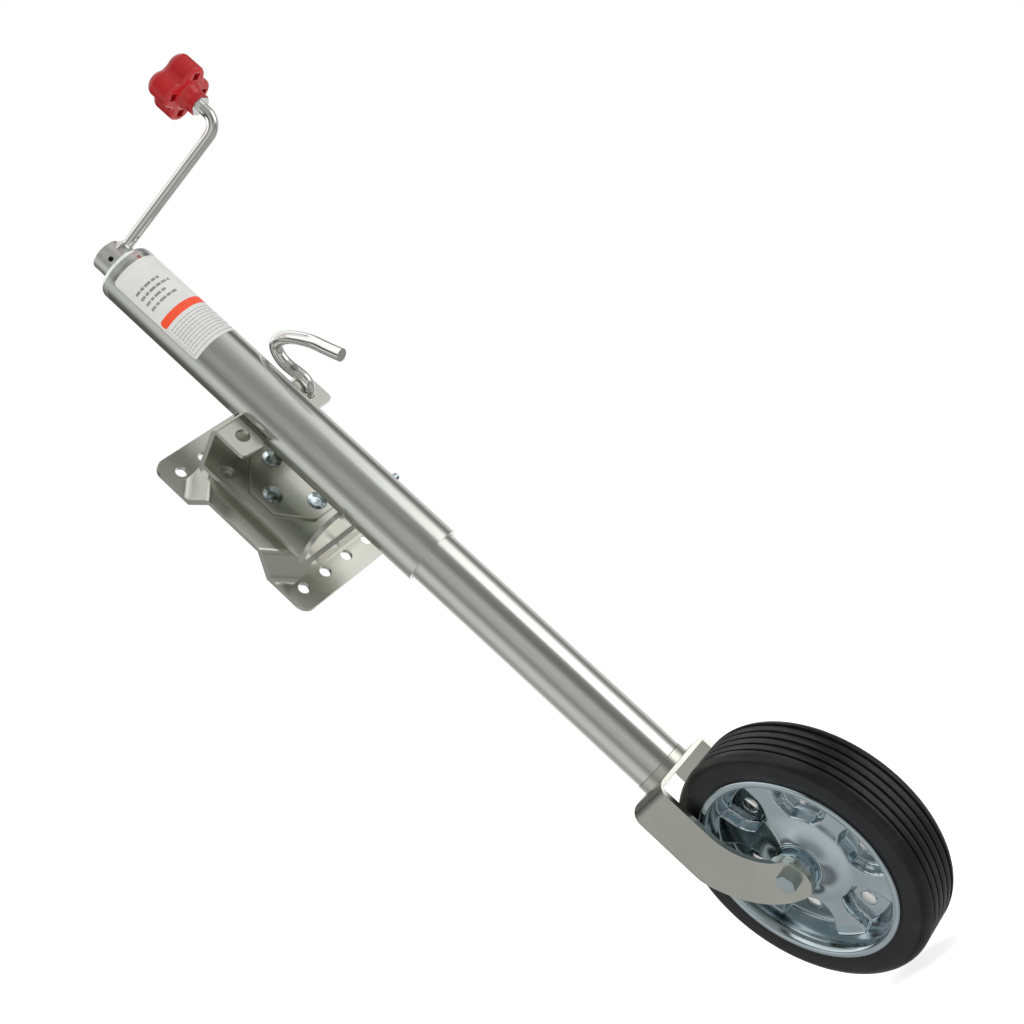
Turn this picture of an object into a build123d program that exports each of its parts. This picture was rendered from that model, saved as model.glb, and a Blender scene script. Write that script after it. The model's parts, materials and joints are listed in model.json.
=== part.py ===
"""Swing-away trailer tongue jack with a caster wheel.

Frame: origin at the centre of the mounting plate's back face, +Z up along the jack's tube, -Y pointing
out from the trailer towards the tube.  A "depth" is a distance in front of the plate's back face, along
-Y.  Lengths are in millimetres, angles in degrees.
"""
from build123d import *
import os
from math import cos, radians, sin, sqrt

os.makedirs("parts", exist_ok=True)

# ---------------------------------------------------------------- mounting plate and swivel joint
SHEET = 4.0                      # steel sheet of the plate, the bracket and the fork
PLATE_HALF_W = 68.5
PLATE_HALF_H = 88.5
PLATE_CORNER_R = 11.0
RAISED_DEPTH = 23.8              # front face of the plate's raised centre
RAISED_HALF_H = 61.0
RAISED_SLANT_AT = 68.0           # distance of the raised centre's slanted sides from the pivot axis
RAISED_SLANT_ANGLE = 49.0        # direction of their normals above the X axis
RAISED_SLANT_RUN = 13.0          # how far the slanted walls lean out on their way down to the flange
RAISED_LEVEL_RUN = 2.0           # the same for the level walls
RAISED_CROWN_R = 6.0
RAISED_FOOT_R = 9.0
FRAME_HOLE_R = 5.1
FRAME_HOLE_PITCH = 26.25
FRAME_HOLES = 5
FRAME_ROW_Z = 70.6

FLOOR_BACK = 24.0                # the bracket's floor turns between the plate and the retainer
FLOOR_FRONT = FLOOR_BACK + SHEET
PIVOT_R = 34.0                   # disc on which the bracket's floor turns
RETAINER_BACK = 28.2
RETAINER_FRONT = 31.0
RETAINER_HALF = 38.5             # half the width of the eight-sided retainer across its flats
RETAINER_SIDE_HALF = 13.5
RIVET_RING_R = 26.0
RIVET_SHANK_R = 6.0
RIVET_HEAD_R = 8.6
PIVOT_RIVETS = 4

# ---------------------------------------------------------------- swivel bracket
BRACKET_HALF_W = 53.0
BRACKET_LOW = -60.0
BRACKET_HIGH = 57.0
BEND_R = 5.0                     # outside radius of the bracket's bends
LIP_DEPTH = 33.5                 # front edge of the short lips along the floor's sides
SADDLE_DEPTH = 70.0              # front edge of the lower wall that carries the tube
SADDLE_CORNER_R = 28.0
EAR_DEPTH = 78.0                 # front face of the two ears bent down from the upper wall
EAR_INNER_X = 28.0
EAR_LOW_Z = 22.7
PIN_X = 38.2                     # the lock pin stands at 45 degrees from the pivot axis
PIN_Z = 38.2
PIN_HOLE_R = 6.1
PLATE_PIN_HOLES = [(PIN_X, PIN_Z), (PIN_X, -PIN_Z), (-PIN_X, -PIN_Z)]

# ---------------------------------------------------------------- telescoping tube
TUBE_Y = -81.0                   # axis of the jack's tube
OUTER_R = 25.4
OUTER_BORE_R = 23.0
OUTER_LOW = -134.0
OUTER_HIGH = 205.4
INNER_R = 22.225
INNER_BORE_R = 20.0
INNER_LOW = -371.2
INNER_HIGH = -52.0
RUN = 0.08                       # radial clearance of the running fits
SEAT = 0.02                      # radial clearance of the pressed fits
GUIDE_Z = -64.5                  # guide screw that keeps the inner tube from turning
GUIDE_SHANK_R = 2.5
GUIDE_HEAD_R = 3.3
GUIDE_REACH = 35.0
TRAVEL = 235.0

# ---------------------------------------------------------------- crank
SCREW_R = 8.0
SCREW_LOW = -88.0
SPIGOT_R = 7.0
CAP_HIGH = 214.5
BOSS_R = 14.0
BOSS_LOW = 215.6
BOSS_HIGH = 235.0
ROLL_PIN_R = 2.2
ROLL_PIN_BORE_R = 1.5
ROLL_PIN_RECESS = 3.5            # the pin's ends stand this far inside the boss
ROLL_PIN_Z = 222.4
ROLL_PIN_ANGLE = -130.7
ARM_Z = 224.9
ARM_ANGLE = -53.6
ARM_LENGTH = 142.8               # distance of the handle's axis from the tube's axis
ROD_R = 4.8
ROD_BEND_R = 14.0
SPINDLE_R = 4.0
SPINDLE_LOW = 245.4
SPINDLE_HIGH = 281.0
KNOB_LOW = 247.3
KNOB_STAR_LOW = 260.0
KNOB_HIGH = 284.0
KNOB_LOBES = 4
KNOB_LOBE_R = 11.5
KNOB_LOBE_AT = 14.3
KNOB_TURN = 12.5

# ---------------------------------------------------------------- fork and wheel
TRAIL = 51.0                     # the axle trails the tube's axis, away from the plate
AXLE_Y = TUBE_Y - TRAIL
AXLE_Z = -490.0
FORK_TURN = -2.0                 # the caster stands turned this far about the tube's axis
CROWN_TOP = -379.4
FORK_HALF_W = 33.0
FORK_BEND_R = 10.0
COLLAR_R = 22.7
KINGPIN_R = 9.0
TYRE_R = 100.0
TYRE_HALF_W = 24.2
TYRE_SHOULDER_R = 8.5
GROOVE_W = 2.0
GROOVE_DEPTH = 2.5
GROOVES_X = (-14.4, -7.2, 0.0, 7.2, 14.4)
RIM_LIP_R = 79.3
RIM_LIP_X = 25.2
RIM_SHEET = 2.0
RIM_WELL_R = 74.5                # open end of the rim's dished well
RIM_FLOOR_R = 67.0
RIM_STATIONS = 6                 # rivets and spokes round the disc
RIM_RIVET_AT = 52.0
RIM_RIVET_R = 4.0
RIM_RIVET_HEAD_R = 6.6
SPOKE_TOP = 11.5                 # height of the spokes' tops over the wheel's middle plane
SPOKE_END_R = 69.0
FLARE_R = 39.0                   # the hub's flare ends at the level of the spokes
FLARE_HIGH = 18.5
SPOKE_TURN = 172.0
RIVET_TURN = 142.0
HUB_R = 17.0
HUB_BORE_R = 12.1
HUB_HALF_W = 27.0
SLEEVE_R = 8.0
AXLE_R = 5.0

# ---------------------------------------------------------------- lock pin
PIN_ROD_R = 5.5
PIN_TIP_DEPTH = 24.3             # the pin stands drawn just clear of the plate
PIN_WASHER_DEPTH = 38.0
PIN_SPRING_R = 7.6
PIN_SPRING_WIRE_R = 0.9
HOOK_BEND_R = 9.0
HOOK_LEG_DEPTH = 89.0
HOOK_TOP_Z = 81.0
HOOK_END_DEPTH = 141.0
HOOK_END_Z = 24.0

FRONT = Plane.XZ                 # sketches in X and Z, extruded forwards along -Y
TUBE_AXIS = Axis((0, TUBE_Y, 0), (0, 0, 1))
TUBE_SECTION = Plane(origin=(0, TUBE_Y, 0), x_dir=(1, 0, 0), z_dir=(0, -1, 0))
TUBE_SIDE = Plane(origin=(0, TUBE_Y, 0), x_dir=(0, 1, 0), z_dir=(1, 0, 0))
AXLE_AXIS = Axis((0, AXLE_Y, AXLE_Z), (1, 0, 0))
AXLE_SIDE = Plane(origin=(0, AXLE_Y, AXLE_Z), x_dir=(0, 1, 0), z_dir=(1, 0, 0))
AXLE_SECTION = Plane(origin=(0, AXLE_Y, AXLE_Z), x_dir=(1, 0, 0), z_dir=(0, -1, 0))
ARM_DIR = (cos(radians(ARM_ANGLE)), sin(radians(ARM_ANGLE)))
HANDLE_X = ARM_LENGTH * ARM_DIR[0]
HANDLE_Y = TUBE_Y + ARM_LENGTH * ARM_DIR[1]
HANDLE_SECTION = Plane(origin=(HANDLE_X, HANDLE_Y, 0), x_dir=(1, 0, 0), z_dir=(0, -1, 0))
HANDLE_AXIS = Axis((HANDLE_X, HANDLE_Y, 0), (0, 0, 1))

nodes = {}


def tube_ring(inner, outer, low, high):
    """A plain ring about the tube's axis, solid when inner is 0."""
    with BuildPart() as ring:
        with BuildSketch(Plane.XY.offset(low)):
            with Locations((0, TUBE_Y)):
                Circle(outer)
                if inner > 0:
                    Circle(inner, mode=Mode.SUBTRACT)
        extrude(amount=high - low)
    return ring


def axle_ring(inner, outer, low, high):
    """A plain ring about the axle, from x = low to x = high."""
    with BuildPart() as ring:
        with BuildSketch(AXLE_SIDE.offset(low)):
            Circle(outer)
            if inner > 0:
                Circle(inner, mode=Mode.SUBTRACT)
        extrude(amount=high - low)
    return ring


def raised_outline(depth, sheet, reach):
    """The raised centre's outline at a depth: its outside, or its inside when sheet is its thickness."""
    across = cos(radians(RAISED_SLANT_ANGLE))
    rise = sin(radians(RAISED_SLANT_ANGLE))
    down = (RAISED_DEPTH - depth) / (RAISED_DEPTH - SHEET)
    slant_sheet = sheet * sqrt(1 + (RAISED_SLANT_RUN / (RAISED_DEPTH - SHEET)) ** 2)
    top = RAISED_HALF_H + RAISED_LEVEL_RUN * down - sheet
    slant = RAISED_SLANT_AT + RAISED_SLANT_RUN * down - slant_sheet
    top_x = (slant - top * rise) / across
    side_z = (slant - reach * across) / rise
    right = [(top_x, top), (reach, side_z), (reach, -side_z), (top_x, -top)]
    return right + [(-x, -z) for x, z in right]


# ================================================================ fixed side
RAISED_REACH = PLATE_HALF_W + 4
with BuildPart() as mounting_plate:
    with BuildSketch(FRONT):
        RectangleRounded(2 * PLATE_HALF_W, 2 * PLATE_HALF_H, PLATE_CORNER_R)
    extrude(amount=SHEET)
    with BuildSketch(FRONT):
        Polygon(*raised_outline(0, 0, RAISED_REACH), align=None)
    with BuildSketch(FRONT.offset(RAISED_DEPTH)):
        Polygon(*raised_outline(RAISED_DEPTH, 0, RAISED_REACH), align=None)
    loft()
    with BuildSketch(FRONT):
        Rectangle(2 * PLATE_HALF_W, 2 * PLATE_HALF_H)
    extrude(amount=RAISED_DEPTH + 1, mode=Mode.INTERSECT)
    crown = mounting_plate.faces().sort_by(Axis.Y)[0].edges()
    fillet(crown.filter_by(Axis.Z, reverse=True), radius=RAISED_CROWN_R)
    foot = mounting_plate.edges().filter_by(
        lambda edge: abs(edge.center().Y + SHEET) < 0.01 and 30 < abs(edge.center().Z) < 62
    )
    fillet(foot.filter_by(lambda edge: 30 < abs(edge.center().X) < 60), radius=RAISED_FOOT_R)
    with BuildSketch(FRONT):
        Polygon(*raised_outline(0, SHEET, RAISED_REACH + 4), align=None)
    with BuildSketch(FRONT.offset(RAISED_DEPTH - SHEET)):
        Polygon(*raised_outline(RAISED_DEPTH - SHEET, SHEET, RAISED_REACH + 4), align=None)
    loft(mode=Mode.SUBTRACT)
    with BuildSketch(FRONT):
        with GridLocations(FRAME_HOLE_PITCH, 2 * FRAME_ROW_Z, FRAME_HOLES, 2):
            Circle(FRAME_HOLE_R)
    extrude(amount=2 * SHEET, mode=Mode.SUBTRACT)
    with BuildSketch(FRONT.offset(RAISED_DEPTH - SHEET)):
        with Locations(*PLATE_PIN_HOLES):
            Circle(PIN_HOLE_R)
        with PolarLocations(RIVET_RING_R, PIVOT_RIVETS):
            Circle(RIVET_SHANK_R + SEAT)
    extrude(amount=SHEET, mode=Mode.SUBTRACT)
nodes["mounting_plate"] = mounting_plate

with BuildPart() as pivot_disc:
    with BuildSketch(FRONT.offset(RAISED_DEPTH)):
        Circle(PIVOT_R)
        with PolarLocations(RIVET_RING_R, PIVOT_RIVETS):
            Circle(RIVET_SHANK_R + SEAT, mode=Mode.SUBTRACT)
    extrude(amount=RETAINER_BACK - RAISED_DEPTH)
nodes["pivot_disc"] = pivot_disc

with BuildPart() as retainer_plate:
    with BuildSketch(FRONT.offset(RETAINER_BACK)):
        flat, side = RETAINER_HALF, RETAINER_SIDE_HALF
        corners = [(flat, side), (side, flat), (-side, flat), (-flat, side)]
        Polygon(*corners, *[(-x, -z) for x, z in corners], align=None)
    extrude(amount=RETAINER_FRONT - RETAINER_BACK)
    fillet(retainer_plate.edges().filter_by(Axis.Y), radius=3.0)
    fillet(retainer_plate.faces().sort_by(Axis.Y)[0].edges(), radius=0.7)
    with Locations(FRONT.offset(RETAINER_FRONT)):
        with PolarLocations(RIVET_RING_R, PIVOT_RIVETS):
            CounterSinkHole(RIVET_SHANK_R + SEAT, RIVET_HEAD_R, depth=SHEET, counter_sink_angle=96)
nodes["retainer_plate"] = retainer_plate

with BuildPart() as pivot_rivets:
    for station in range(PIVOT_RIVETS):
        turn = radians(station * 360 / PIVOT_RIVETS)
        rivet_x, rivet_z = RIVET_RING_R * cos(turn), RIVET_RING_R * sin(turn)
        with BuildSketch(Plane(origin=(rivet_x, 0, rivet_z), x_dir=(1, 0, 0), z_dir=(0, 0, 1))):
            with BuildLine():
                Polyline(
                    (0, 1.8 - RETAINER_FRONT),
                    (4.5, 1.4 - RETAINER_FRONT),
                    (RIVET_HEAD_R - 0.6, 0.2 - RETAINER_FRONT),
                    (RIVET_SHANK_R, 2.2 - RETAINER_FRONT),
                    (RIVET_SHANK_R, SHEET - RAISED_DEPTH),
                    (9.5, SHEET - RAISED_DEPTH),
                    (8.0, SHEET + 3.0 - RAISED_DEPTH),
                    (0, SHEET + 3.4 - RAISED_DEPTH),
                    close=True,
                )
            make_face()
        revolve(axis=Axis((rivet_x, 0, rivet_z), (0, 1, 0)))
nodes["pivot_rivets"] = pivot_rivets

# ================================================================ swivel bracket
BRACKET_SECTION = Plane(origin=(-BRACKET_HALF_W, 0, 0), x_dir=(0, 1, 0), z_dir=(1, 0, 0))
with BuildPart() as swivel_bracket:
    with BuildSketch(BRACKET_SECTION) as bracket_profile:
        with BuildLine():
            Polyline(
                (-SADDLE_DEPTH, BRACKET_LOW),
                (-FLOOR_BACK, BRACKET_LOW),
                (-FLOOR_BACK, BRACKET_HIGH),
                (-EAR_DEPTH, BRACKET_HIGH),
                (-EAR_DEPTH, EAR_LOW_Z),
                (-EAR_DEPTH + SHEET, EAR_LOW_Z),
                (-EAR_DEPTH + SHEET, BRACKET_HIGH - SHEET),
                (-FLOOR_FRONT, BRACKET_HIGH - SHEET),
                (-FLOOR_FRONT, BRACKET_LOW + SHEET),
                (-SADDLE_DEPTH, BRACKET_LOW + SHEET),
                close=True,
            )
        make_face()
        bends = bracket_profile.vertices().filter_by(
            lambda corner: abs(corner.Y) > BRACKET_HIGH - 0.1 and abs(corner.X + SADDLE_DEPTH) > 0.1
        )
        fillet(bends, radius=BEND_R)
    extrude(amount=2 * BRACKET_HALF_W)
    # the floor's sides give way to short rounded lips
    with BuildSketch(FRONT.offset(FLOOR_BACK)):
        with GridLocations(2 * BRACKET_HALF_W, 0, 2, 1):
            Rectangle(12, BRACKET_HIGH - BRACKET_LOW - 2 * SHEET - 3)
    extrude(amount=SHEET, mode=Mode.SUBTRACT)
    with BuildSketch(Plane.XY.offset(BRACKET_LOW + SHEET)) as lips:
        for side in (-1, 1):
            outer, inner, root = side * BRACKET_HALF_W, side * (BRACKET_HALF_W - SHEET), side * 40
            with BuildLine():
                Polyline(
                    (root, -FLOOR_BACK),
                    (side * (BRACKET_HALF_W - BEND_R), -FLOOR_BACK),
                    (outer, -FLOOR_BACK - BEND_R),
                    (outer, -LIP_DEPTH),
                    (inner, -LIP_DEPTH),
                    (inner, -FLOOR_FRONT),
                    (root, -FLOOR_FRONT),
                    close=True,
                )
            make_face()
    extrude(amount=BRACKET_HIGH - BRACKET_LOW - 2 * SHEET)
    # between the ears the front is open
    with BuildSketch(FRONT.offset(EAR_DEPTH - SHEET)):
        with Locations((0, EAR_LOW_Z - 5)):
            Rectangle(2 * EAR_INNER_X, BRACKET_HIGH - SHEET - EAR_LOW_Z + 5, align=(Align.CENTER, Align.MIN))
    extrude(amount=SHEET, mode=Mode.SUBTRACT)
    ear_ends = swivel_bracket.edges().filter_by(Axis.Y).filter_by(
        lambda edge: abs(edge.center().Z - EAR_LOW_Z) < 0.1
    )
    fillet(ear_ends, radius=4.0)
    saddle_ends = swivel_bracket.edges().filter_by(Axis.Z).filter_by(
        lambda edge: abs(edge.center().Y + SADDLE_DEPTH) < 0.1
    )
    fillet(saddle_ends, radius=SADDLE_CORNER_R)
    # saddles for the tube, the pivot opening and the pin's holes
    with BuildSketch(Plane.XY.offset(BRACKET_LOW)):
        with Locations((0, TUBE_Y)):
            Circle(OUTER_R + SEAT)
    extrude(amount=BRACKET_HIGH - BRACKET_LOW, mode=Mode.SUBTRACT)
    with BuildSketch(FRONT.offset(FLOOR_BACK)):
        Circle(PIVOT_R + RUN)
        with Locations((-PIN_X, PIN_Z), (PIN_X, PIN_Z)):
            Circle(PIN_HOLE_R)
    extrude(amount=EAR_DEPTH - FLOOR_BACK, mode=Mode.SUBTRACT)
nodes["swivel_bracket"] = swivel_bracket

WELD_LEG = 3.0
with BuildPart() as bracket_welds:
    for wall_z, grows, front_depth in ((BRACKET_HIGH, 1, EAR_DEPTH), (BRACKET_LOW, -1, SADDLE_DEPTH)):
        # each bead runs round the tube as far as its wall reaches
        reach = -TUBE_Y - front_depth + BEND_R
        start_sin = reach / OUTER_R
        start_cos = sqrt(1 - start_sin**2)
        with BuildSketch(
            Plane(origin=(0, TUBE_Y, 0), x_dir=(start_cos, start_sin, 0), z_dir=(start_sin, -start_cos, 0))
        ):
            with BuildLine():
                Polyline(
                    (OUTER_R, wall_z),
                    (OUTER_R + WELD_LEG, wall_z),
                    (OUTER_R + 0.3 * WELD_LEG, wall_z + grows * 0.7 * WELD_LEG),
                    (OUTER_R, wall_z + grows * WELD_LEG),
                    close=True,
                )
            make_face()
        revolve(axis=TUBE_AXIS, revolution_arc=150 if grows > 0 else 118)
nodes["bracket_welds"] = bracket_welds

# ================================================================ tube, cap and bearing
ACROSS = Plane.YZ                # sketches across the guide screw, extruded along +X
with BuildPart() as outer_tube:
    add(tube_ring(OUTER_BORE_R, OUTER_R, OUTER_LOW, OUTER_HIGH).part)
    with BuildSketch(ACROSS.offset(INNER_BORE_R)):
        with Locations((TUBE_Y, GUIDE_Z)):
            Circle(GUIDE_HEAD_R + SEAT)
    extrude(amount=OUTER_R, mode=Mode.SUBTRACT)
nodes["outer_tube"] = outer_tube

with BuildPart() as guide_screw:
    with BuildSketch(ACROSS.offset(INNER_BORE_R + 0.4)):
        with Locations((TUBE_Y, GUIDE_Z)):
            Circle(GUIDE_SHANK_R)
    extrude(amount=OUTER_BORE_R - INNER_BORE_R)
    with BuildSketch(ACROSS.offset(OUTER_BORE_R)):
        with Locations((TUBE_Y, GUIDE_Z)):
            Circle(GUIDE_HEAD_R)
    extrude(amount=GUIDE_REACH - OUTER_BORE_R)
    fillet(guide_screw.faces().sort_by(Axis.X)[-1].edges(), radius=0.6)
nodes["guide_screw"] = guide_screw

GUIDE_BUSH_H = 20.0
nodes["guide_bush"] = tube_ring(INNER_R + RUN, OUTER_BORE_R - SEAT, OUTER_LOW, OUTER_LOW + GUIDE_BUSH_H)

CAP_SIDE_HIGH = 209.0
CAP_SHEET = 3.0
with BuildPart() as tube_cap:
    with BuildSketch(TUBE_SECTION):
        with BuildLine():
            rim = Line((OUTER_R + 0.1, OUTER_HIGH), (OUTER_R + 0.1, CAP_SIDE_HIGH))
            dome = ThreePointArc(rim @ 1, (OUTER_R - 1.5, CAP_HIGH - 1.6), (OUTER_R - 5.4, CAP_HIGH))
            Polyline(
                dome @ 1,
                (SCREW_R + RUN, CAP_HIGH),
                (SCREW_R + RUN, CAP_HIGH - CAP_SHEET),
                (OUTER_R - CAP_SHEET, CAP_HIGH - CAP_SHEET),
                (OUTER_R - CAP_SHEET, OUTER_HIGH),
                rim @ 0,
            )
        make_face()
    revolve(axis=TUBE_AXIS)
nodes["tube_cap"] = tube_cap

# the label is a thin film round the front of the tube
LABEL_LOW = 108.0
LABEL_HIGH = 202.0
LABEL_T = 0.12
LABEL_FROM = -161.0
LABEL_TO = -19.0
with BuildPart() as label:
    start = radians(LABEL_FROM)
    with BuildSketch(
        Plane(origin=(0, TUBE_Y, 0), x_dir=(cos(start), sin(start), 0), z_dir=(sin(start), -cos(start), 0))
    ):
        with Locations((OUTER_R, LABEL_LOW)):
            Rectangle(LABEL_T, LABEL_HIGH - LABEL_LOW, align=(Align.MIN, Align.MIN))
    revolve(axis=TUBE_AXIS, revolution_arc=LABEL_TO - LABEL_FROM)
nodes["label"] = label

# thrust bearing under the seat: the screw's collar pushes up through the balls
SEAT_LOW = 201.0
RACE_T = 2.0
BALL_R = 2.5
BALL_AT = 14.0
BALLS = 12
BALL_Z = SEAT_LOW - RACE_T - BALL_R
COLLAR_TOP = BALL_Z - BALL_R - RACE_T
nodes["bearing_seat"] = tube_ring(SCREW_R + 0.4, OUTER_BORE_R - SEAT, SEAT_LOW, OUTER_HIGH)
nodes["upper_race"] = tube_ring(SCREW_R + 0.4, 18.0, SEAT_LOW - RACE_T, SEAT_LOW)
with BuildPart() as thrust_balls:
    for ball in range(BALLS):
        turn = radians(ball * 360 / BALLS)
        with Locations((BALL_AT * cos(turn), TUBE_Y + BALL_AT * sin(turn), BALL_Z)):
            Sphere(BALL_R - 0.02)
nodes["thrust_balls"] = thrust_balls

# ================================================================ crank
nodes["lower_race"] = tube_ring(SCREW_R + SEAT, 18.0, COLLAR_TOP, COLLAR_TOP + RACE_T)
nodes["thrust_collar"] = tube_ring(SCREW_R + SEAT, 13.0, COLLAR_TOP - 4.5, COLLAR_TOP)

ROLL_DIR = (cos(radians(ROLL_PIN_ANGLE)), sin(radians(ROLL_PIN_ANGLE)), 0)
ROLL_PLANE = Plane(origin=(0, TUBE_Y, ROLL_PIN_Z), x_dir=(0, 0, 1), z_dir=ROLL_DIR)

with BuildPart() as lead_screw:
    add(tube_ring(0, SCREW_R, SCREW_LOW, BOSS_LOW).part)
    add(tube_ring(0, SPIGOT_R, BOSS_LOW, BOSS_HIGH - 1.5).part)
    with BuildSketch(ROLL_PLANE):
        Circle(ROLL_PIN_R + SEAT)
    extrude(amount=BOSS_R, both=True, mode=Mode.SUBTRACT)
nodes["lead_screw"] = lead_screw

with BuildPart() as crank_boss:
    add(tube_ring(SPIGOT_R + SEAT, BOSS_R, BOSS_LOW, BOSS_HIGH).part)
    fillet(crank_boss.faces().sort_by(Axis.Z)[-1].edges().sort_by(SortBy.LENGTH)[-1], radius=1.0)
    fillet(crank_boss.faces().sort_by(Axis.Z)[0].edges().sort_by(SortBy.LENGTH)[-1], radius=0.8)
    with BuildSketch(ROLL_PLANE):
        Circle(ROLL_PIN_R + SEAT)
    extrude(amount=BOSS_R, both=True, mode=Mode.SUBTRACT)
nodes["crank_boss"] = crank_boss

with BuildPart() as roll_pin:
    with BuildSketch(ROLL_PLANE):
        Circle(ROLL_PIN_R)
        Circle(ROLL_PIN_BORE_R, mode=Mode.SUBTRACT)
    extrude(amount=BOSS_R - ROLL_PIN_RECESS, both=True)
nodes["roll_pin"] = roll_pin

boss_blank = tube_ring(0, BOSS_R + SEAT, BOSS_LOW - 10, BOSS_HIGH + 10)
ARM_PLANE = Plane(origin=(0, TUBE_Y, ARM_Z), x_dir=(*ARM_DIR, 0), z_dir=(ARM_DIR[1], -ARM_DIR[0], 0))
ARM_START = Plane(
    origin=(10 * ARM_DIR[0], TUBE_Y + 10 * ARM_DIR[1], ARM_Z), x_dir=(0, 0, 1), z_dir=(*ARM_DIR, 0)
)
with BuildPart() as crank_rod:
    with BuildLine(ARM_PLANE) as rod_path:
        arm = Line((10, 0), (ARM_LENGTH - ROD_BEND_R, 0))
        bend = RadiusArc(arm @ 1, (ARM_LENGTH, ROD_BEND_R), -ROD_BEND_R)
        Line(bend @ 1, (ARM_LENGTH, SPINDLE_LOW - ARM_Z))
    with BuildSketch(ARM_START):
        Circle(ROD_R)
    sweep()
    with BuildSketch(Plane.XY.offset(SPINDLE_LOW)):
        with Locations((HANDLE_X, HANDLE_Y)):
            Circle(SPINDLE_R)
    extrude(amount=SPINDLE_HIGH - SPINDLE_LOW)
    add(boss_blank.part, mode=Mode.SUBTRACT)
nodes["crank_rod"] = crank_rod

with BuildPart() as rod_weld:
    with BuildSketch(ARM_PLANE):
        with BuildLine():
            Polyline(
                (10, ROD_R + SEAT),
                (10, ROD_R + 3.6),
                (BOSS_R + 0.8, ROD_R + 2.8),
                (BOSS_R + 3.2, ROD_R + 1.2),
                (BOSS_R + 4.2, ROD_R + SEAT),
                close=True,
            )
        make_face()
    revolve(axis=Axis((0, TUBE_Y, ARM_Z), (*ARM_DIR, 0)))
    add(boss_blank.part, mode=Mode.SUBTRACT)
nodes["rod_weld"] = rod_weld


def handle_turned(*points):
    """A turned part about the handle's axis, from (radius, z) corners."""
    with BuildPart() as turned:
        with BuildSketch(HANDLE_SECTION):
            with BuildLine():
                Polyline(*points, close=True)
            make_face()
        revolve(axis=HANDLE_AXIS)
    return turned


WASHER_HIGH = SPINDLE_LOW + 1.6
nodes["knob_washer"] = handle_turned(
    (SPINDLE_R + SEAT, SPINDLE_LOW),
    (8.5, SPINDLE_LOW),
    (8.5, WASHER_HIGH),
    (SPINDLE_R + SEAT, WASHER_HIGH),
)
RETAINER_LOW = 278.0
nodes["knob_retainer"] = handle_turned(
    (SPINDLE_R + SEAT, RETAINER_LOW + 0.2),
    (6.5, RETAINER_LOW + 0.2),
    (6.5, RETAINER_LOW + 1.2),
    (SPINDLE_R + SEAT, RETAINER_LOW + 2.0),
)

# ================================================================ knob
KNOB_NECK_R = 9.7
KNOB_SKIRT_R = 12.0
with BuildPart() as crank_knob:
    with BuildSketch(HANDLE_SECTION):
        with BuildLine():
            Polyline(
                (0, KNOB_LOW),
                (KNOB_NECK_R, KNOB_LOW),
                (KNOB_NECK_R, KNOB_LOW + 5),
                (KNOB_SKIRT_R, KNOB_STAR_LOW),
                (KNOB_SKIRT_R, KNOB_STAR_LOW + 2),
                (0, KNOB_STAR_LOW + 2),
                close=True,
            )
        make_face()
    revolve(axis=HANDLE_AXIS)
    with BuildSketch(Plane.XY.offset(KNOB_STAR_LOW)) as star:
        with Locations((HANDLE_X, HANDLE_Y)):
            Circle(KNOB_LOBE_AT)
            with PolarLocations(KNOB_LOBE_AT, KNOB_LOBES, start_angle=KNOB_TURN):
                Circle(KNOB_LOBE_R)
        fillet(star.vertices(), radius=6.0)
    extrude(amount=KNOB_HIGH - KNOB_STAR_LOW)
    fillet(crank_knob.faces().sort_by(Axis.Z)[-1].edges(), radius=7.0)
    star_under = crank_knob.edges().filter_by(lambda edge: abs(edge.center().Z - KNOB_STAR_LOW) < 0.01)
    fillet(star_under.filter_by(lambda edge: edge.length > 6), radius=2.8)
    # moulding pockets under the lobes
    with BuildSketch(Plane.XY.offset(KNOB_STAR_LOW)):
        with Locations((HANDLE_X, HANDLE_Y)):
            with PolarLocations(KNOB_LOBE_AT + 3.5, KNOB_LOBES, start_angle=KNOB_TURN):
                Rectangle(6.5, 6.5)
    extrude(amount=12, mode=Mode.SUBTRACT)
    with BuildSketch(Plane.XY.offset(KNOB_LOW)):
        with Locations((HANDLE_X, HANDLE_Y)):
            Circle(SPINDLE_R + RUN)
    extrude(amount=RETAINER_LOW - KNOB_LOW, mode=Mode.SUBTRACT)
    with BuildSketch(Plane.XY.offset(RETAINER_LOW)):
        with Locations((HANDLE_X, HANDLE_Y)):
            Circle(8.0)
    extrude(amount=KNOB_HIGH - RETAINER_LOW, mode=Mode.SUBTRACT)
nodes["crank_knob"] = crank_knob

# ================================================================ inner tube
NUT_HIGH = INNER_HIGH - 3
NUT_LOW = NUT_HIGH - 20
SLOT_HALF_W = GUIDE_SHANK_R + 0.3
with BuildPart() as inner_tube:
    add(tube_ring(INNER_BORE_R, INNER_R, INNER_LOW, INNER_HIGH).part)
    # keyway for the guide screw, which meets its upper end when the jack is fully extended
    with BuildSketch(ACROSS.offset(10)):
        with Locations((TUBE_Y, GUIDE_Z - TRAVEL / 2)):
            SlotOverall(TRAVEL + 2 * SLOT_HALF_W, 2 * SLOT_HALF_W, rotation=90)
    extrude(amount=20, mode=Mode.SUBTRACT)
nodes["inner_tube"] = inner_tube

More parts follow.
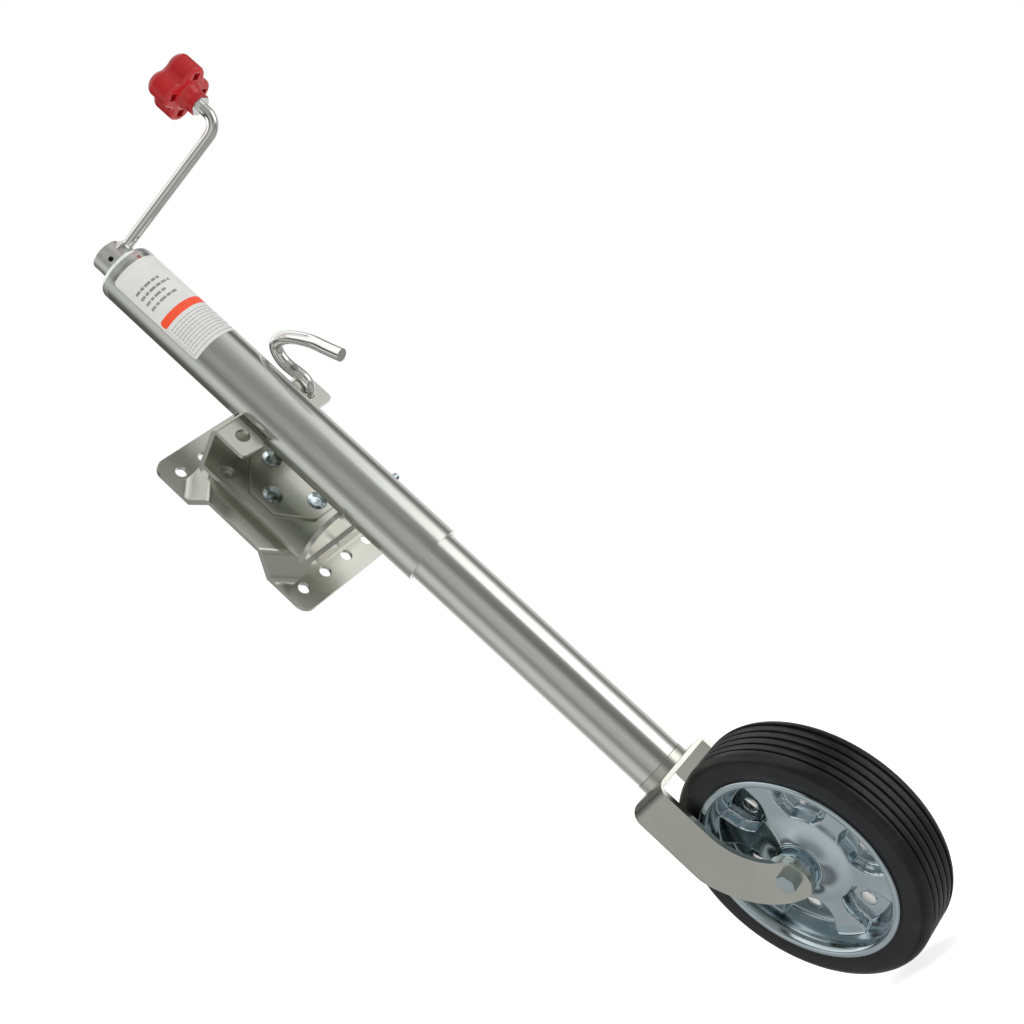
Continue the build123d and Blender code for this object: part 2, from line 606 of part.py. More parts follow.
nodes["wear_ring"] = tube_ring(INNER_R + SEAT, OUTER_BORE_R - RUN, INNER_HIGH - 9, INNER_HIGH - 1)
with BuildPart() as lead_nut:
    add(tube_ring(SCREW_R + RUN, INNER_BORE_R - SEAT, NUT_LOW, NUT_HIGH).part)
    # the nut is cut away beside the keyway
    with BuildSketch(Plane.XY.offset(NUT_LOW)):
        with Locations((INNER_BORE_R, TUBE_Y)):
            Rectangle(6, 10)
    extrude(amount=NUT_HIGH - NUT_LOW, mode=Mode.SUBTRACT)
nodes["lead_nut"] = lead_nut
nodes["screw_stop"] = tube_ring(SCREW_R + SEAT, 12.0, SCREW_LOW, NUT_LOW - 2)

PLUG_HIGH = INNER_LOW + 20
nodes["stem_plug"] = tube_ring(KINGPIN_R + SEAT, INNER_BORE_R - SEAT, INNER_LOW, PLUG_HIGH)
CROWN_UNDER = CROWN_TOP - SHEET
STEM_FLANGE_R = 13.0             # the flange is held inside the fork's collar
STEM_FLANGE_T = 2.5
with BuildPart() as swivel_stem:
    add(tube_ring(0, KINGPIN_R, CROWN_UNDER + 0.5, PLUG_HIGH + 2).part)
    add(tube_ring(0, STEM_FLANGE_R, CROWN_TOP + 0.3, CROWN_TOP + 0.3 + STEM_FLANGE_T).part)
nodes["swivel_stem"] = swivel_stem

# ================================================================ fork
with BuildPart() as fork:
    with BuildSketch(TUBE_SIDE.offset(-FORK_HALF_W)) as fork_outline:
        with BuildLine():
            front = Line((-22.5, CROWN_TOP), (-22.5, -426))
            sweep_in = ThreePointArc(front @ 1, (-32.5, -459.5), (-58.5, -477.3))
            nose = ThreePointArc(sweep_in @ 1, (-67, -491.5), (-50.5, -508))
            sweep_out = ThreePointArc(nose @ 1, (9.5, -480), (34.5, -426))
            Polyline(sweep_out @ 1, (34.5, CROWN_TOP), front @ 0)
        make_face()
        top_rear = fork_outline.vertices().sort_by(Axis.Y)[-2:].sort_by(Axis.X)[-1]
        fillet(top_rear, radius=12.0)
    extrude(amount=2 * FORK_HALF_W)
    fillet(fork.edges().filter_by(Axis.Y).filter_by(lambda edge: edge.center().Z > -380), radius=FORK_BEND_R)
    with BuildSketch(TUBE_SIDE.offset(SHEET - FORK_HALF_W)):
        with Locations((0, CROWN_UNDER)):
            Rectangle(200, 160, align=(Align.CENTER, Align.MAX))
    extrude(amount=2 * (FORK_HALF_W - SHEET), mode=Mode.SUBTRACT)
    with BuildSketch(Plane.XY.offset(CROWN_UNDER)):
        with Locations((0, TUBE_Y)):
            Circle(KINGPIN_R + RUN)
    extrude(amount=SHEET, mode=Mode.SUBTRACT)
    with BuildSketch(AXLE_SIDE.offset(-FORK_HALF_W)):
        Circle(AXLE_R + SEAT)
    extrude(amount=2 * FORK_HALF_W, mode=Mode.SUBTRACT)
nodes["fork"] = fork

with BuildPart() as fork_collar:
    add(tube_ring(KINGPIN_R + 0.4, COLLAR_R, CROWN_TOP, INNER_LOW - 0.3).part)
    with BuildSketch(Plane.XY.offset(CROWN_TOP)):
        with Locations((0, TUBE_Y)):
            Circle(STEM_FLANGE_R + 0.4)
    extrude(amount=STEM_FLANGE_T + 0.6, mode=Mode.SUBTRACT)
nodes["fork_collar"] = fork_collar

# ================================================================ axle
BOLT_HEAD_R = 8.0                # 14 mm across its flats
BOLT_HEAD_H = 6.6
WASHER_T = 1.6
WASHER_R = 12.0
with BuildPart() as axle_bolt:
    add(axle_ring(0, AXLE_R, -FORK_HALF_W, FORK_HALF_W + 13).part)
    with BuildSketch(AXLE_SIDE.offset(-FORK_HALF_W - BOLT_HEAD_H)):
        RegularPolygon(BOLT_HEAD_R, 6, rotation=15)
    extrude(amount=BOLT_HEAD_H)
    chamfer(axle_bolt.faces().sort_by(Axis.X)[-1].edges(), length=1.0)
nodes["axle_bolt"] = axle_bolt

with BuildPart() as axle_nut:
    with BuildSketch(AXLE_SIDE.offset(FORK_HALF_W + WASHER_T)):
        RegularPolygon(BOLT_HEAD_R, 6)
        Circle(AXLE_R + SEAT, mode=Mode.SUBTRACT)
    extrude(amount=10)
nodes["axle_nut"] = axle_nut
nodes["axle_washer"] = axle_ring(AXLE_R + SEAT, WASHER_R, FORK_HALF_W, FORK_HALF_W + WASHER_T)
nodes["axle_sleeve"] = axle_ring(AXLE_R + SEAT, SLEEVE_R, SHEET - FORK_HALF_W, FORK_HALF_W - SHEET)
SPACER_T = FORK_HALF_W - SHEET - HUB_HALF_W - 0.4
with BuildPart() as hub_spacers:
    for low in (SHEET - FORK_HALF_W, FORK_HALF_W - SHEET - SPACER_T):
        add(axle_ring(SLEEVE_R + SEAT, HUB_R + 1, low, low + SPACER_T).part)
nodes["hub_spacers"] = hub_spacers

# ================================================================ wheel
nodes["hub_tube"] = axle_ring(HUB_BORE_R, HUB_R, -HUB_HALF_W, HUB_HALF_W)
BUSH_L = 20.0
with BuildPart() as hub_bushes:
    for low in (-HUB_HALF_W, HUB_HALF_W - BUSH_L):
        add(axle_ring(SLEEVE_R + RUN, HUB_BORE_R - SEAT, low, low + BUSH_L).part)
nodes["hub_bushes"] = hub_bushes

with BuildPart() as tyre:
    with BuildSketch(AXLE_SECTION) as tyre_profile:
        with BuildLine():
            Polyline(
                (-TYRE_HALF_W, TYRE_R),
                (TYRE_HALF_W, TYRE_R),
                (TYRE_HALF_W, RIM_LIP_R + 4),
                (RIM_LIP_X - RIM_SHEET - 0.1, RIM_LIP_R),
                (RIM_LIP_X - RIM_SHEET - 0.1, RIM_WELL_R + RIM_SHEET),
                (5, RIM_FLOOR_R + RIM_SHEET + 1),
                (-5, RIM_FLOOR_R + RIM_SHEET + 1),
                (RIM_SHEET + 0.1 - RIM_LIP_X, RIM_WELL_R + RIM_SHEET),
                (RIM_SHEET + 0.1 - RIM_LIP_X, RIM_LIP_R),
                (-TYRE_HALF_W, RIM_LIP_R + 4),
                close=True,
            )
        make_face()
        fillet(tyre_profile.vertices().sort_by(Axis.Y)[-2:], radius=TYRE_SHOULDER_R)
        with Locations(*[(x, TYRE_R - GROOVE_DEPTH) for x in GROOVES_X]):
            Rectangle(GROOVE_W, 2 * GROOVE_DEPTH, align=(Align.CENTER, Align.MIN), mode=Mode.SUBTRACT)
    revolve(axis=AXLE_AXIS)
nodes["tyre"] = tyre


def spoke_outline(inset):
    """Outline of one spoke, widening outwards from the hub's flare."""
    inner, outer = 10.0 - inset, 14.0 - inset
    return [(34, -inner), (SPOKE_END_R - inset, -outer), (SPOKE_END_R - inset, outer), (34, inner)]


def rim_half(side):
    """One pressed half of the rim, on the side of x = side; the halves meet back to back."""
    with BuildPart() as half:
        with BuildSketch(AXLE_SECTION):
            with BuildLine():
                Polyline(
                    (0, HUB_R + SEAT),
                    (side * FLARE_HIGH, HUB_R + SEAT),
                    (side * FLARE_HIGH, HUB_R + RIM_SHEET),
                    (side * (SPOKE_TOP + 2), 29),
                    (side * SPOKE_TOP, FLARE_R),
                    (side * RIM_SHEET, FLARE_R + 3),
                    (side * RIM_SHEET, RIM_FLOOR_R - 3),
                    (side * 5, RIM_FLOOR_R),
                    (side * (RIM_LIP_X - 2.5), RIM_WELL_R - 1),
                    (side * RIM_LIP_X, RIM_WELL_R + 1),
                    (side * RIM_LIP_X, RIM_LIP_R),
                    (side * (RIM_LIP_X - RIM_SHEET), RIM_LIP_R),
                    (side * (RIM_LIP_X - RIM_SHEET), RIM_WELL_R + RIM_SHEET),
                    (side * 4.5, RIM_FLOOR_R + RIM_SHEET),
                    (0, RIM_FLOOR_R + 1),
                    close=True,
                )
            make_face()
        revolve(axis=AXLE_AXIS)
        # spokes pressed up between the rivets, hollow behind like the flare
        with BuildSketch(AXLE_SIDE.offset(side * RIM_SHEET / 2)):
            with PolarLocations(0, RIM_STATIONS, start_angle=SPOKE_TURN):
                Polygon(*spoke_outline(0), align=None)
        extrude(amount=SPOKE_TOP - RIM_SHEET / 2, dir=(side, 0, 0), taper=14)
        with BuildSketch(AXLE_SIDE):
            with PolarLocations(0, RIM_STATIONS, start_angle=SPOKE_TURN):
                Polygon(*spoke_outline(RIM_SHEET), align=None)
        extrude(amount=SPOKE_TOP - RIM_SHEET, dir=(side, 0, 0), taper=14, mode=Mode.SUBTRACT)
        with BuildSketch(AXLE_SECTION):
            with BuildLine():
                Polyline(
                    (0, HUB_R + RIM_SHEET),
                    (side * (FLARE_HIGH - 2 * RIM_SHEET), HUB_R + RIM_SHEET),
                    (side * SPOKE_TOP, 28),
                    (side * (SPOKE_TOP - RIM_SHEET), FLARE_R - 1.5),
                    (0, FLARE_R),
                    close=True,
                )
            make_face()
        revolve(axis=AXLE_AXIS, mode=Mode.SUBTRACT)
        with BuildSketch(AXLE_SIDE):
            with PolarLocations(RIM_RIVET_AT, RIM_STATIONS, start_angle=RIVET_TURN):
                Circle(RIM_RIVET_R + SEAT)
        extrude(amount=side * 5, mode=Mode.SUBTRACT)
    return half


nodes["rim_near"] = rim_half(-1)
nodes["rim_far"] = rim_half(1)

with BuildPart() as rim_rivets:
    with BuildSketch(AXLE_SIDE.offset(-RIM_SHEET)):
        with PolarLocations(RIM_RIVET_AT, RIM_STATIONS, start_angle=RIVET_TURN):
            Circle(RIM_RIVET_R)
    extrude(amount=2 * RIM_SHEET)
    for low in (-RIM_SHEET - 1.8, RIM_SHEET):
        with BuildSketch(AXLE_SIDE.offset(low)):
            with PolarLocations(RIM_RIVET_AT, RIM_STATIONS, start_angle=RIVET_TURN):
                Circle(RIM_RIVET_HEAD_R)
        extrude(amount=1.8)
nodes["rim_rivets"] = rim_rivets

# ================================================================ lock pin
HOOK = [(87.5, 62), (89, 73), (97, HOOK_TOP_Z), (107, 78), (116, 70.5), (128, 54)]
with BuildPart() as pull_pin:
    with BuildLine():
        shank = Line((PIN_X, -PIN_TIP_DEPTH, PIN_Z), (PIN_X, HOOK_BEND_R - HOOK_LEG_DEPTH, PIN_Z))
        elbow = ThreePointArc(
            shank @ 1,
            (PIN_X, 0.293 * HOOK_BEND_R - HOOK_LEG_DEPTH, PIN_Z + 0.293 * HOOK_BEND_R),
            (PIN_X, -HOOK_LEG_DEPTH, PIN_Z + HOOK_BEND_R),
        )
        Spline(
            elbow @ 1,
            *[(PIN_X, -depth, z) for depth, z in HOOK],
            (PIN_X, -HOOK_END_DEPTH, HOOK_END_Z),
            tangents=((0, 0, 1), (0, -0.42, -0.91)),
        )
    with BuildSketch(Plane(origin=(PIN_X, -PIN_TIP_DEPTH, PIN_Z), x_dir=(1, 0, 0), z_dir=(0, -1, 0))):
        Circle(PIN_ROD_R)
    sweep()
nodes["pull_pin"] = pull_pin


def pin_ring(inner, outer, depth, length):
    """A plain ring about the lock pin's axis, from depth forwards."""
    with BuildPart() as ring:
        with BuildSketch(FRONT.offset(depth)):
            with Locations((PIN_X, PIN_Z)):
                Circle(outer)
                Circle(inner, mode=Mode.SUBTRACT)
        extrude(amount=length)
    return ring


nodes["pin_washer"] = pin_ring(PIN_ROD_R + SEAT, 9.0, PIN_WASHER_DEPTH, 1.6)

SPRING_LOW = PIN_WASHER_DEPTH + 1.6
SPRING_LENGTH = EAR_DEPTH - SHEET - SPRING_LOW
SPRING_TURNS = 7
SPRING_PITCH = (SPRING_LENGTH - 2 * PIN_SPRING_WIRE_R - 0.1) / SPRING_TURNS
with BuildPart() as pin_spring:
    coil_start = -SPRING_LOW - PIN_SPRING_WIRE_R - 0.05
    with BuildLine() as coil:
        Helix(
            pitch=SPRING_PITCH,
            height=SPRING_PITCH * SPRING_TURNS,
            radius=PIN_SPRING_R,
            center=(PIN_X, coil_start, PIN_Z),
            direction=(0, -1, 0),
        )
    with BuildSketch(Plane(origin=coil.line @ 0, z_dir=coil.line % 0)):
        Circle(PIN_SPRING_WIRE_R)
    sweep(is_frenet=True)
nodes["pin_spring"] = pin_spring

CASTER_NODES = {
    "fork", "fork_collar", "axle_bolt", "axle_nut", "axle_washer", "axle_sleeve", "hub_spacers",
    "hub_tube", "hub_bushes", "tyre", "rim_near", "rim_far", "rim_rivets",
}
for name, node in nodes.items():
    shape = node.part.rotate(TUBE_AXIS, FORK_TURN) if name in CASTER_NODES else node.part
    shape.label = name
    export_step(shape, f"parts/{name}.step")
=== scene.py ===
import json
import math

import bpy
from mathutils import Matrix, Vector


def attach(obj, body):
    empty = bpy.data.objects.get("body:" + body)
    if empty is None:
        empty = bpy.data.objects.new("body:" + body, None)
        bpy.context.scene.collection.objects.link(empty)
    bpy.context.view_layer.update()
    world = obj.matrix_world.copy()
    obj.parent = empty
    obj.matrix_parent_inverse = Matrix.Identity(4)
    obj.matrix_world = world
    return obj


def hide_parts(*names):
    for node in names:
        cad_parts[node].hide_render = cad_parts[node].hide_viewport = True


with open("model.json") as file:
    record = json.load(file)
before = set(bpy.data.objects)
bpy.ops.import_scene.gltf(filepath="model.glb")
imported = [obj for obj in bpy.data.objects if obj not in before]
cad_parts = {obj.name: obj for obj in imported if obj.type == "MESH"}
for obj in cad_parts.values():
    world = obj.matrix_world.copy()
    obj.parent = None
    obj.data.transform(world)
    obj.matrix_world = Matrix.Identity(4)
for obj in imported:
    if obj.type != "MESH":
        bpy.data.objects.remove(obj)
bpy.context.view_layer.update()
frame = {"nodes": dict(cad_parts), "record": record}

MM = 0.001
TUBE_Y = -81.0
AXLE = (-51.0, -490.0)                # from the tube's axis
FORK_TURN = math.radians(-2.0)       # the caster stands turned about the tube's axis
FACING = -131.8                      # direction from the tube towards the camera, in degrees


# ------------------------------------------------------------------ materials
class Nodes:
    """A small helper around a material's node tree."""

    def __init__(self, name):
        self.mat = bpy.data.materials.new(name)
        self.mat.use_nodes = True
        self.tree = self.mat.node_tree
        self.bsdf = self.tree.nodes["Principled BSDF"]
        self.coord = self.tree.nodes.new("ShaderNodeTexCoord").outputs["Object"]

    def link(self, a, b):
        self.tree.links.new(a, b)

    def noise(self, scale, stretch=(1, 1, 1), detail=3.0, rough=0.55):
        mapping = self.tree.nodes.new("ShaderNodeMapping")
        mapping.inputs["Scale"].default_value = stretch
        tex = self.tree.nodes.new("ShaderNodeTexNoise")
        tex.inputs["Scale"].default_value = scale
        tex.inputs["Detail"].default_value = detail
        tex.inputs["Roughness"].default_value = rough
        self.link(self.coord, mapping.inputs["Vector"])
        self.link(mapping.outputs["Vector"], tex.inputs["Vector"])
        return tex.outputs["Fac"]

    def range(self, value, low, high, frm=0.3, to=0.7):
        node = self.tree.nodes.new("ShaderNodeMapRange")
        node.inputs["From Min"].default_value = frm
        node.inputs["From Max"].default_value = to
        node.inputs["To Min"].default_value = low
        node.inputs["To Max"].default_value = high
        self.link(value, node.inputs["Value"])
        return node.outputs["Result"]

    def mix(self, fac, a, b):
        node = self.tree.nodes.new("ShaderNodeMix")
        node.data_type = "RGBA"
        self.link(fac, node.inputs["Factor"])
        for value, socket in ((a, node.inputs["A"]), (b, node.inputs["B"])):
            if isinstance(value, tuple):
                socket.default_value = (*value, 1)
            else:
                self.link(value, socket)
        return node.outputs["Result"]

    def bump(self, height, strength, distance, rounded=0.0):
        """Surface relief; rounded softens the sheet's cut edges by that radius."""
        node = self.tree.nodes.new("ShaderNodeBump")
        if rounded > 0:
            edge = self.tree.nodes.new("ShaderNodeBevel")
            edge.samples = 6
            edge.inputs["Radius"].default_value = rounded
            self.link(edge.outputs["Normal"], node.inputs["Normal"])
        node.inputs["Strength"].default_value = strength
        node.inputs["Distance"].default_value = distance
        self.link(height, node.inputs["Height"])
        self.link(node.outputs["Normal"], self.bsdf.inputs["Normal"])

    def set(self, **values):
        for name, value in values.items():
            socket = self.bsdf.inputs[name.replace("_", " ")]
            if isinstance(value, bpy.types.NodeSocket):
                self.link(value, socket)
            else:
                socket.default_value = value
        return self.mat


def zinc(name, dark, light, rough, streak=(1, 1, 1), grain=900, bump=0.05, sparkle=0.15, rounded=0.0):
    """Zinc plate: a soft cloudy tint, fine crystals and drawing marks."""
    n = Nodes(name)
    cloud = n.range(n.noise(22, streak, 3), 0, 1)
    tint = n.mix(cloud, dark, light)
    fine = n.noise(grain, streak, 4, 0.6)
    bright = tuple(min(1, c * 1.2) for c in light)
    tint = n.mix(n.range(fine, 0, sparkle, 0.45, 0.75), tint, bright)
    n.bump(fine, bump, 0.0002, rounded)
    return n.set(Metallic=1.0, Base_Color=tint, Roughness=n.range(n.noise(200, streak, 3), *rough))


M = {}
M["steel_tube"] = zinc(
    "zinc_drawn_tube", (0.69, 0.70, 0.66), (0.80, 0.805, 0.76), (0.16, 0.24), (1, 1, 0.05), 900, 0.06, 0.30
)
M["steel_satin"] = zinc(
    "zinc_satin", (0.60, 0.61, 0.55), (0.65, 0.655, 0.595), (0.24, 0.27), (1, 1, 1), 1500, 0.012, 0.05, 0.0005
)
M["steel_blue"] = zinc(
    "zinc_blue", (0.46, 0.55, 0.58), (0.58, 0.66, 0.69), (0.10, 0.15), (1, 1, 1), 1100, 0.03, 0.15
)
M["steel_bright"] = zinc(
    "zinc_bright", (0.82, 0.83, 0.81), (0.90, 0.90, 0.88), (0.05, 0.09), (1, 1, 1), 1100, 0.03, 0.10
)
M["steel_hidden"] = zinc("steel_machined", (0.36, 0.37, 0.37), (0.5, 0.5, 0.5), (0.3, 0.4))
M["steel_weld"] = zinc(
    "zinc_weld", (0.58, 0.59, 0.57), (0.78, 0.78, 0.75), (0.20, 0.36), (1, 1, 1), 420, 0.6, 0.30
)


def rubber():
    n = Nodes("rubber_black")
    cloud = n.range(n.noise(60, detail=4), 0, 1)
    n.bump(n.noise(1400, detail=3), 0.10, 0.0002)
    n.set(Base_Color=n.mix(cloud, (0.006, 0.006, 0.0065), (0.012, 0.012, 0.0125)))
    return n.set(Roughness=n.range(n.noise(150, detail=4), 0.24, 0.38), Specular_IOR_Level=0.30)


def plastic(name, dark, light, rough, bump=0.06, coat=0.0):
    n = Nodes(name)
    n.bump(n.noise(900, detail=3), bump, 0.0003)
    n.set(Base_Color=n.mix(n.range(n.noise(70, detail=4), 0, 1), dark, light))
    n.set(Roughness=n.range(n.noise(300, detail=4), rough - 0.04, rough + 0.06), Coat_Weight=coat)
    return n.mat


M["rubber_black"] = rubber()
M["plastic_red"] = plastic("plastic_red", (0.34, 0.006, 0.008), (0.42, 0.009, 0.011), 0.30, 0.03, 0.20)
M["label_film"] = plastic("label_film", (0.62, 0.62, 0.60), (0.67, 0.67, 0.655), 0.42, 0.02)
M["nylon"] = plastic("nylon", (0.55, 0.55, 0.50), (0.62, 0.62, 0.57), 0.45)
M["print_orange"] = plastic("print_orange", (0.78, 0.07, 0.02), (0.84, 0.09, 0.03), 0.4, 0.02)
M["print_grey"] = plastic("print_grey", (0.20, 0.20, 0.20), (0.28, 0.28, 0.28), 0.45, 0.02)
M["print_pale"] = plastic("print_pale", (0.34, 0.34, 0.34), (0.42, 0.42, 0.42), 0.45, 0.02)

slots = {row["node"]: row["material_slot"] for row in frame["record"]["subparts"]}
for name, node in frame["nodes"].items():
    node.data.materials.clear()
    node.data.materials.append(M[slots[name]])
M["steel_boss"] = zinc(
    "zinc_boss", (0.84, 0.86, 0.84), (0.92, 0.93, 0.91), (0.32, 0.40), (1, 1, 1), 900, 0.04, 0.10
)
M["steel_black"] = zinc("steel_black", (0.035, 0.035, 0.037), (0.06, 0.06, 0.062), (0.30, 0.42))
FINISHES = {
    "bracket_welds": "steel_weld", "rod_weld": "steel_weld",
    "crank_boss": "steel_boss", "tube_cap": "steel_boss", "roll_pin": "steel_black",
}
for name, finish in FINISHES.items():
    frame["nodes"][name].data.materials[0] = M[finish]


# ------------------------------------------------------------------ pieces
def piece(name, verts, faces, body, mat, sharp=35):
    """A visual mesh, given in mm, that rides on a body; edges over sharp degrees stay hard."""
    mesh = bpy.data.meshes.new(name)
    mesh.from_pydata([Vector(v) * MM for v in verts], [], faces)
    mesh.validate()
    mesh.shade_smooth()
    mesh.set_sharp_from_angle(angle=math.radians(sharp))
    mesh.materials.append(mat)
    obj = bpy.data.objects.new(name, mesh)
    bpy.context.scene.collection.objects.link(obj)
    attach(obj, body)
    return obj


def ring_faces(rows, cols, flip=False):
    """Quads between rows of points that each close on themselves."""
    faces = []
    for i in range(rows - 1):
        for j in range(cols):
            a, b = i * cols + j, i * cols + (j + 1) % cols
            quad = (a, b, b + cols, a + cols)
            faces.append(quad[::-1] if flip else quad)
    return faces


def patch(az, z, r, round_by=0.0):
    """Points and quads of a patch of film round the tube, with rounded corners where asked."""
    steps = max(2, int(abs(az[1] - az[0]) / 1.5))
    verts = []
    width = math.radians(abs(az[1] - az[0])) * r
    for j in range(steps + 1):
        a = math.radians(az[0] + (az[1] - az[0]) * j / steps)
        edge = min(j, steps - j) / steps * width
        pull = 0.0
        if edge < round_by:
            pull = round_by - math.sqrt(max(0.0, round_by**2 - (round_by - edge) ** 2))
        for zz in (z[0] + pull, z[1] - pull):
            verts.append((r * math.cos(a), TUBE_Y + r * math.sin(a), zz))
    return verts, [(2 * j, 2 * j + 2, 2 * j + 3, 2 * j + 1) for j in range(steps)]


def film(name, patches, r, mat, round_by=0.0):
    """One piece of film made of patches, each given by its azimuths and heights."""
    verts, faces = [], []
    for az, z in patches:
        points, quads = patch(az, z, r, round_by)
        faces += [tuple(k + len(verts) for k in quad) for quad in quads]
        verts += points
    return piece(name, verts, faces, "jack", mat)


def dashes(start, end, z, high, lengths, gap):
    """A row of plain dashes that stands for a line of print."""
    out = []
    at, k = start, 0
    while at < end - 1.5:
        stop = min(end, at + lengths[k % len(lengths)])
        out.append(((at, stop), (z, z + high)))
        at = stop + gap
        k += 1
    return out


LABEL_R = 25.52
PRINT_R = LABEL_R + 0.03
PRINT_FROM = -157.0
PRINT_TO = -28.0
SHEET_AZ = (-161, -19)               # azimuths round the tube, in degrees
SHEET_Z = (108, 202)
BAND_Z = (143, 150.5)
HEADING_FROM = -148
HEADING_ENDS = (-92, -78, -100, -86)
ROW_FROM = -151
ROW_ENDS = (-50, -44, -58, -46, -66, -48, -54, -45, -70)

sheet = film("label_sheet", [(SHEET_AZ, SHEET_Z)], LABEL_R, M["label_film"], 3.0)
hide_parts("label")
film("label_band", [((PRINT_FROM, PRINT_TO), BAND_Z)], PRINT_R, M["print_orange"], 2.5)

headings = []
for row, end in enumerate(HEADING_ENDS):
    headings += dashes(HEADING_FROM, end, 179.0 - 6.0 * row, 2.3, (11, 7, 14, 9), 2.4)
film("label_headings", headings, PRINT_R, M["print_grey"])

rows = []
for row, end in enumerate(ROW_ENDS):
    rows += dashes(ROW_FROM, end, 138.4 - 3.0 * row, 1.0, (5, 9, 4, 7, 6, 10), 1.6)
film("label_rows", rows, PRINT_R, M["print_pale"])

LINE_AZ = 0.7
film(
    "label_outline",
    [
        ((PRINT_FROM, PRINT_FROM + LINE_AZ), (111.5, 144)),
        ((PRINT_TO - LINE_AZ, PRINT_TO), (111.5, 144)),
        ((PRINT_FROM, PRINT_TO), (111.2, 111.6)),
    ],
    PRINT_R,
    M["print_grey"],
)


def on_wheel(x, y, z):
    """A point given from the middle of the axle, placed on the turned caster."""
    y += AXLE[0]
    across = x * math.cos(FORK_TURN) - y * math.sin(FORK_TURN)
    along = x * math.sin(FORK_TURN) + y * math.cos(FORK_TURN)
    return across, TUBE_Y + along, AXLE[1] + z


def axle_lathe(name, profile, steps, node, slot, relief=None, flip=False, sharp=30):
    """Turns (x, radius) points about the axle; relief may move each point's x by its angle."""
    verts = []
    for x, r in profile:
        for j in range(steps):
            a = 2 * math.pi * j / steps
            xx = relief(x, r, a) if relief else x
            verts.append(on_wheel(xx, r * math.cos(a), r * math.sin(a)))
    faces = ring_faces(len(profile), steps, flip)
    obj = piece(name, verts, faces, "wheel", M[slot], sharp=sharp)
    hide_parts(node)


TREAD_R = 99.95
SHOULDER_R = 8.5
SIDE_X = 24.2
GROOVES_X = (14.4, 7.2, 0.0, -7.2, -14.4)
RIB_EDGE = 0.35                      # how far a rib falls from its middle to its edges


def tyre_profile():
    """The tyre's outside from bead to bead: sidewall, shoulder, grooved tread and back."""
    half = [(23.1, 76.6), (23.1, 79.8), (23.5, 82.0), (24.0, 83.8), (24.2, 85.8), (24.2, 88.5)]
    for k in range(11):
        a = math.radians(90 * k / 10)
        x = SIDE_X - SHOULDER_R + SHOULDER_R * math.cos(a)
        half.append((x, TREAD_R - SHOULDER_R + SHOULDER_R * math.sin(a)))
    tread = []
    for centre in GROOVES_X:
        side = [(1.6, 0.75 * RIB_EDGE), (1.1, RIB_EDGE), (0.95, RIB_EDGE + 0.3), (0.7, 2.2), (0.45, 2.5)]
        tread += [(centre + dx, TREAD_R - deep) for dx, deep in side]
        tread += [(centre - dx, TREAD_R - deep) for dx, deep in reversed(side)]
        if centre != GROOVES_X[-1]:
            tread += [(centre - 2.6, TREAD_R - 0.1), (centre - 3.6, TREAD_R), (centre - 4.6, TREAD_R - 0.1)]
    return half + tread + [(-x, r) for x, r in reversed(half)]


axle_lathe("tyre_tread", tyre_profile(), 240, "tyre", "rubber_black")


def smooth(e0, e1, v):
    """Rises softly from 0 at e0 to 1 at e1."""
    t = min(1.0, max(0.0, (v - e0) / (e1 - e0)))
    return t * t * (3 - 2 * t)


STATION = math.pi / 3                # six spokes and six riveted pockets
POCKET_TURN = math.radians(142)
POCKET_H = 2.2                       # heights over the wheel's middle plane
SPOKE_H = 11.5
FLARE_H = 18.0
LIP_H = 22.8
FLARE_R = 40.0
WELL_R = (65.5, 72.4)                # foot and top of the rim's well
DISC_R = (19.0, 73.0)                # the part of the rim that is pressed
CORNER = 1.2                         # rounds the corner where disc and well meet


def disc_height(r, a):
    """Height of the pressed disc over the wheel's middle plane."""
    off = (a - POCKET_TURN) % STATION - STATION / 2
    across = abs(r * math.sin(off))
    half_w = 8.0 + 5.5 * smooth(50, 70, r) + 3.0 * (1 - smooth(36, 48, r))
    spoke = 1 - smooth(half_w - 0.6, half_w + 2.4, across)
    flare = 1 - smooth(FLARE_R - 2.4, FLARE_R + 1.2, r)
    raised = 1 - (1 - spoke) * (1 - flare)
    top = SPOKE_H + (FLARE_H - SPOKE_H) * max(0.0, (FLARE_R - r) / (FLARE_R - DISC_R[0])) ** 2
    disc = POCKET_H + raised * (top - POCKET_H)
    well = (LIP_H - POCKET_H) * smooth(WELL_R[0], WELL_R[1] + 1.5, r) ** 0.8 + POCKET_H
    return 0.5 * (disc + well + math.sqrt((disc - well) ** 2 + CORNER**2)) - 0.5 * CORNER


def rim_relief(side):
    """The relief of one rim half, for axle_lathe."""

    def relief(x, r, a):
        if not DISC_R[0] < r < DISC_R[1]:
            return x
        return side * min(LIP_H, disc_height(r, a))

    return relief


for side, node in ((-1, "rim_near"), (1, "rim_far")):
    prof = [(side * 18.4, 17.05), (side * 18.3, 18.2)]
    prof += [(side * SPOKE_H, 19.2 + 0.62 * k) for k in range(87)]
    for x, r in ((23.8, 73.6), (24.6, 74.4), (25.05, 75.3), (25.2, 76.3), (25.2, 78.2)):
        prof.append((side * x, r))
    prof += [(side * 24.9, 78.9), (side * 24.2, 79.3), (side * 23.2, 79.25)]
    axle_lathe(f"{node}_pressing", prof, 420, node, "steel_blue", rim_relief(side), side > 0, 180)


RIVETS = 6
RIVET_STEPS = 36
RIVET_CIRCLE_R = 52.0
RIVET_HEAD = (                       # (radius, height over the wheel's middle plane)
    (6.6, 2.0), (6.6, 2.5), (6.3, 2.85), (5.5, 3.2), (4.3, 3.5), (2.9, 3.68), (1.4, 3.77), (0.01, 3.8),
)


